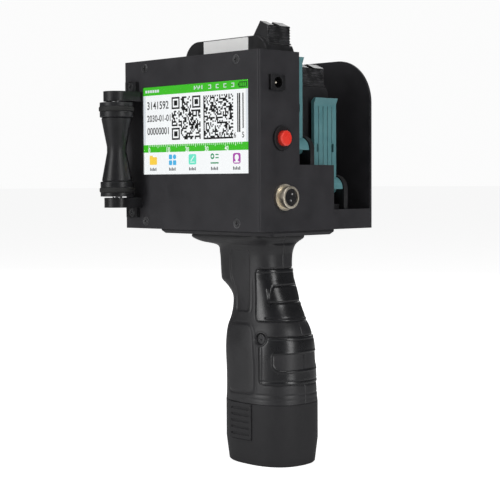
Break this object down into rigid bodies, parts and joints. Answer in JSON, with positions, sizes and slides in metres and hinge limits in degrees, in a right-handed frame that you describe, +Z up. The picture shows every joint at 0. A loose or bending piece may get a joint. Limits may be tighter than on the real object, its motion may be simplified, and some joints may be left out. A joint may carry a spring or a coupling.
{
  "type": "date code inkjet printer",
  "caption": "Hand-held date code inkjet printer: sheet metal box with touch screen, guide roller and latched ink cartridges on a pistol grip with slide-in battery.",
  "frame": {"origin": "middle of the battery's flat base", "axes": "+Z up along the grip; the screen faces -Y towards the user; the print heads fire towards -X; +X is the side with the print button and sockets"},
  "size_m": [0.131, 0.1208, 0.2658],
  "materials": {
    "black_sheet": "fine textured powder coat",
    "black_plastic": "fine moulded texture",
    "gloss_black": "smooth",
    "grip_rubber": "satin soft-touch",
    "band_rubber": "matte",
    "zinc_steel": "zinc plated",
    "nickel": "nickel plated, warm tint",
    "teal_plastic": "satin",
    "red_plastic": "satin",
    "board": "solder mask",
    "label_paper": "coated paper",
    "cover_glass": "clear, coated",
    "display": "lit picture",
    "aluminium": "plain"
  },
  "bodies": {
    "case": {"front_shell": "black_sheet", "rear_shell": "black_sheet", "front_screws": "black_sheet", "chassis_plate": "zinc_steel", "base_plate": "black_sheet", "base_screws": "zinc_steel", "lcd_frame": "zinc_steel", "lcd_panel": "display", "touch_glass": "cover_glass", "main_board": "board", "board_standoffs": "nickel", "driver_board": "board", "driver_standoffs": "nickel", "dc_jack": "black_plastic", "jack_pin": "nickel", "connector_shell": "nickel", "connector_insert": "black_plastic", "connector_pins": "zinc_steel", "connector_nut": "nickel", "button_bezel": "black_plastic", "button_spring": "zinc_steel", "bracket_upper": "black_sheet", "bracket_lower": "black_sheet", "bracket_screws": "black_sheet", "roller_shaft": "zinc_steel", "riser_1": "zinc_steel", "riser_2": "zinc_steel", "stall_1": "black_plastic", "stall_2": "black_plastic", "contact_boards": "board", "latch_pins": "zinc_steel", "handle_front": "black_plastic", "handle_back": "black_plastic", "grip_pads": "grip_rubber", "handle_screws": "zinc_steel", "flange_screws": "zinc_steel", "trigger_spring": "zinc_steel", "trigger_switch": "black_plastic", "battery_socket": "black_plastic"},
    "roller": {"roller_core": "black_plastic", "roller_bands": "band_rubber", "roller_bushes": "nickel"},
    "button": {"button_cap": "red_plastic"},
    "latch_upper": {"latch_1": "teal_plastic", "pressure_pad_1": "band_rubber"},
    "latch_lower": {"latch_2": "teal_plastic", "pressure_pad_2": "band_rubber"},
    "cartridge_upper": {"cartridge_1": "black_plastic", "label_1": "label_paper", "nozzle_plate_1": "nickel"},
    "cartridge_lower": {"cartridge_2": "black_plastic", "label_2": "label_paper", "nozzle_plate_2": "nickel"},
    "trigger": {"trigger": "black_plastic"},
    "battery": {"battery_case": "black_plastic", "battery_cells": "aluminium", "release_spring_front": "zinc_steel", "release_spring_back": "zinc_steel"},
    "release_button_front": {"release_front": "black_plastic"},
    "release_button_back": {"release_back": "black_plastic"}
  },
  "joints": [
    {"name": "roller_spin", "type": "hinge", "parent": "case", "child": "roller", "pos_m": [-0.0745, -0.0606, 0.1915], "axis": [0, 0, 1], "continuous": true},
    {"name": "button_press", "type": "slide", "parent": "case", "child": "button", "axis": [-1, 0, 0], "range_m": [0, 0.0012], "stiffness_N_per_m": 800, "springref_m": -0.0006, "deforming": ["button_spring"]},
    {"name": "latch_1_hinge", "type": "hinge", "parent": "case", "child": "latch_upper", "pos_m": [0.0282, -0.013, 0.1898], "axis": [0, 1, 0], "range_deg": [0, 3.5]},
    {"name": "latch_2_hinge", "type": "hinge", "parent": "case", "child": "latch_lower", "pos_m": [0.0282, 0.0162, 0.1666], "axis": [0, 1, 0], "range_deg": [0, 22]},
    {"name": "cartridge_1_lift", "type": "slide", "parent": "case", "child": "cartridge_upper", "axis": [0, 0, 1], "range_m": [0, 0.06]},
    {"name": "cartridge_2_lift", "type": "slide", "parent": "case", "child": "cartridge_lower", "axis": [0, 0, 1], "range_m": [0, 0.06]},
    {"name": "trigger_pull", "type": "slide", "parent": "case", "child": "trigger", "axis": [1, 0, 0], "range_m": [0, 0.004], "stiffness_N_per_m": 900, "springref_m": -0.001, "deforming": ["trigger_spring"]},
    {"name": "battery_slide", "type": "slide", "parent": "case", "child": "battery", "axis": [0, 0, -1], "range_m": [0, 0.034]},
    {"name": "release_front_press", "type": "slide", "parent": "battery", "child": "release_button_front", "axis": [0, 1, 0], "range_m": [0, 0.002], "stiffness_N_per_m": 900, "springref_m": -0.0006, "deforming": ["release_spring_front"]},
    {"name": "release_back_press", "type": "slide", "parent": "battery", "child": "release_button_back", "axis": [0, -1, 0], "range_m": [0, 0.002], "stiffness_N_per_m": 900, "springref_m": -0.0006, "deforming": ["release_spring_back"]}
  ]
}
